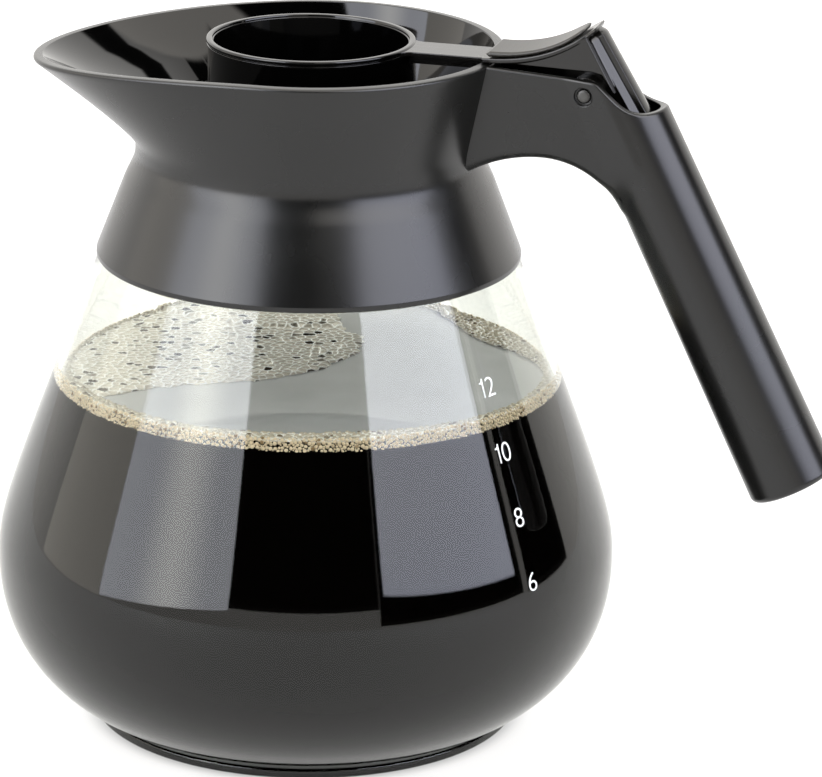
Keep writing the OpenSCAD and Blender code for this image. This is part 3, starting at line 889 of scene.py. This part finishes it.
def build_lid():
    _, high = node_box("lid_lever")
    lever = field_piece("lever", lever_field, (SLEEVE_R - 2, -9, 160.5), (high[0] + 1.2, 9.2, high[2] + 1.2),
                        0.165, "lid", [LEVER])
    r = SLEEVE_R
    bead = [(r, 176.1, 0.1), (r + 0.3, 176.2, 0.1), (r + 0.3, 176.6, 0.1), (r, 176.75, 0.05), (r, 176.95, 0.05),
            (r + 0.4, 177.1, 0.15), (r + 0.4, 178, 0.42), (r - 1.1, 178, 0.35), (r - 1.25, 176.9, 0)]
    sleeve = turned("lid_sleeve", filleted([(r - 1.2, 154.4, 0), (r, 154.4, 0.3), *bead], 4),
                    "lid", [GLOSS], 160, 50)
    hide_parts("lid_lever")
    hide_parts("lid_lever")
    pad = field_piece("thumb_rest", pad_field, (45, -9, 177), (73, 9.2, 189), 0.2, "lid", [PAD])
    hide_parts("thumb_pad")
    c = r - 1.05  # the cup's outer radius
    cup = turned("cup", filleted([(c, 176.9, 0), (c, 158, 1), (c - 1.5, 156, 1), (6.5, 154.2, 0.5), (6.5, 151, 0.2),
                                  (5, 151, 0.2), (5, 155.6, 0.6), (c - 2.4, 158.4, 1.2), (c - 0.9, 160.4, 1.5),
                                  (c - 0.4, 177.3, 0.2), (c, 177.4, 0.1), (c, 176.9, 0)], 4),
                 "lid", [GLOSS], 160, 50)
    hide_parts("lid_cup")


# ---------------------------------------------------------------- studio
VIEW_AZIMUTH = math.radians(-74.0)  # the camera's direction round the jug
VIEW_RIGHT = (-math.sin(VIEW_AZIMUTH), math.cos(VIEW_AZIMUTH), 0.0)
VIEW_NEAR = (math.cos(VIEW_AZIMUTH), math.sin(VIEW_AZIMUTH), 0.0)


def build_world():
    """A white studio with a bright backdrop behind the jug, a dark room in front of it, and two tall soft boxes.
    Directions are an azimuth from the camera's side, positive to its right, and an elevation, in degrees."""
    world = bpy.data.worlds.new("studio")
    bpy.context.scene.world = world
    world.use_nodes = True
    t = Tree(world.node_tree)
    way = t.add("ShaderNodeTexCoord").outputs["Generated"]

    def dot(axis):
        return t.add("ShaderNodeVectorMath", {0: way, 1: axis}, operation="DOT_PRODUCT").outputs["Value"]

    azimuth = t.math("MULTIPLY", t.math("ARCTAN2", dot(VIEW_RIGHT), dot(VIEW_NEAR)), 180 / math.pi)
    elevation = t.math("MULTIPLY", t.math("ARCSINE", dot((0, 0, 1))), 180 / math.pi)

    def span(value, low, high, soft=0.6):
        rises = t.ramp(value, low - soft, low + soft)
        return t.math("MULTIPLY", rises, t.ramp(value, high - soft, high + soft, 1.0, 0.0))

    def patch(azimuths, elevations, soft=0.6):
        return t.math("MULTIPLY", span(azimuth, *azimuths, soft), span(elevation, *elevations, soft))

    def above(azimuths, low_edge, high):
        """Between two azimuths, under an elevation, and over an edge that slopes from one elevation to another."""
        floor = t.ramp(azimuth, azimuths[0], azimuths[1], low_edge[0], low_edge[1], "LINEAR")
        over = t.ramp(t.math("SUBTRACT", elevation, floor), -0.5, 0.5)
        under = t.ramp(elevation, high - 1, high + 1, 1.0, 0.0)
        return t.math("MULTIPLY", t.math("MULTIPLY", span(azimuth, *azimuths), over), under)

    table, wall, lit_wall = rgba(1.16, 1.12, 1.08), rgba(1.55, 1.52, 1.47), rgba(2.1, 2.0, 1.85)
    ceiling, dark = rgba(2.3, 2.2, 2.05), rgba(0, 0, 0)
    behind = t.ramp(t.math("ABSOLUTE", azimuth), 98, 150)
    sky = t.mix(t.math("MULTIPLY", behind, t.ramp(elevation, -12, 4)), table, wall)
    sky = t.mix(patch((-114, -80.3), (-3, 60)), sky, lit_wall)
    for azimuths, low_edge, high in (((-28.4, 27), (7.5, 7.5), 64), ((27, 86), (-1.5, -2.5), 64),
                                     ((88.5, 112.5), (-3.0, -3.0), 62)):  # the dark room
        sky = t.mix(above(azimuths, low_edge, high), sky, dark)
    right_box = t.mix(t.ramp(elevation, 5, 45), rgba(4.3, 4.45, 5.3), rgba(5.2, 5.2, 5.5))
    sky = t.mix(above((28.8, 83.2), (11.5, 4.0), 60), sky, right_box)
    left_box = t.mix(span(azimuth, -60, -44, 9), rgba(4.4, 4.5, 4.9), rgba(7.2, 7.2, 7.2))
    sky = t.mix(above((-80.3, -28.3), (-2.5, 6.5), 60), sky, left_box)
    overhead = t.math("MAXIMUM", t.ramp(elevation, 60, 64), patch((5, 28.8), (32, 70), 2.0))
    sky = t.mix(overhead, sky, ceiling)
    sky = t.mix(patch((139, 153), (38, 66), 1.0), sky, dark)  # a gap behind, seen in the funnel
    lit = t.add("ShaderNodeBackground", {"Color": sky, "Strength": 1.0}).outputs[0]
    plain = t.add("ShaderNodeBackground", {"Color": rgba(1, 1, 1), "Strength": 1.1}).outputs[0]
    path = t.add("ShaderNodeLightPath")
    bounced = t.math("ADD", path.outputs["Glossy Depth"], path.outputs["Diffuse Depth"])
    seen = t.math("LESS_THAN", bounced, 0.5)
    mixed = t.add("ShaderNodeMixShader", {0: seen, 1: lit, 2: plain}).outputs[0]
    t.add("ShaderNodeOutputWorld", {"Surface": mixed})


def soft_lamp(name, size, power, place):
    """A rectangular lamp that lights the pieces without showing in the view, in reflections or through glass."""
    lamp = bpy.data.lights.new(name, "AREA")
    lamp.shape, lamp.energy = "RECTANGLE", power
    lamp.size, lamp.size_y = size
    obj = bpy.data.objects.new(name, lamp)
    obj.location = place
    obj.visible_glossy = False
    obj.visible_camera = False
    obj.visible_transmission = False
    bpy.context.scene.collection.objects.link(obj)
    return obj


def build_stage():
    mesh = bpy.data.meshes.new("floor")
    n, far = 96, 0.95
    ring = [(far * math.cos(2 * math.pi * i / n), far * math.sin(2 * math.pi * i / n), 0.0) for i in range(n)]
    mesh.from_pydata(ring, [], [tuple(range(n))])
    mesh.materials.append(floor_material())
    floor = bpy.data.objects.new("floor", mesh)
    bpy.context.scene.collection.objects.link(floor)
    floor.location.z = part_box("glass_jug")[0].z - 0.0002

    soft_lamp("overhead", (1.6, 1.6), 8.0, (0.0, 0.35, 1.5))
    # a low lamp behind the jug shines in through the glass, over the coffee and its froth
    behind = (-1.2 * VIEW_NEAR[0], -1.2 * VIEW_NEAR[1], 0.5)
    back = soft_lamp("back", (0.9, 0.5), 20.0, behind)
    back.rotation_euler = Vector(back.location - Vector((0, 0, 0.09))).to_track_quat("Z", "Y").to_euler()


def build_camera():
    """The photograph's view, from a long lens: 16 degrees round from the jug's side, looking down at it."""
    camera = bpy.data.cameras.new("camera")
    camera.sensor_width, camera.lens = 36.0, 204.67
    camera.clip_start, camera.clip_end = 0.05, 20.0
    obj = bpy.data.objects.new("camera", camera)
    bpy.context.scene.collection.objects.link(obj)
    forward = Vector((-0.24106, 0.92080, -0.30663)).normalized()
    right = Vector((0.96598, 0.25814, 0.01575)).normalized()
    up = right.cross(forward)
    place = Vector((0.31497, -1.09844, 0.45388))
    obj.matrix_world = Matrix((
        (right.x, up.x, -forward.x, place.x),
        (right.y, up.y, -forward.y, place.y),
        (right.z, up.z, -forward.z, place.z),
        (0, 0, 0, 1),
    ))
    bpy.context.scene.camera = obj
    bpy.context.scene.view_settings.view_transform = "Standard"


build_glass()
build_coffee()
build_foam()
build_marks()
build_collar()
build_handle()
build_pin()
build_lid()
for name, finish in (("neck_gasket", SEAL), ("neck_clamp_ring", SATIN), ("handle_end_cap", SATIN),
                     ("lid_closure_disc", SATIN)):
    obj = frame["nodes"][name]
    obj.data.materials.clear()
    obj.data.materials.append(finish)
build_world()
build_stage()
build_camera()
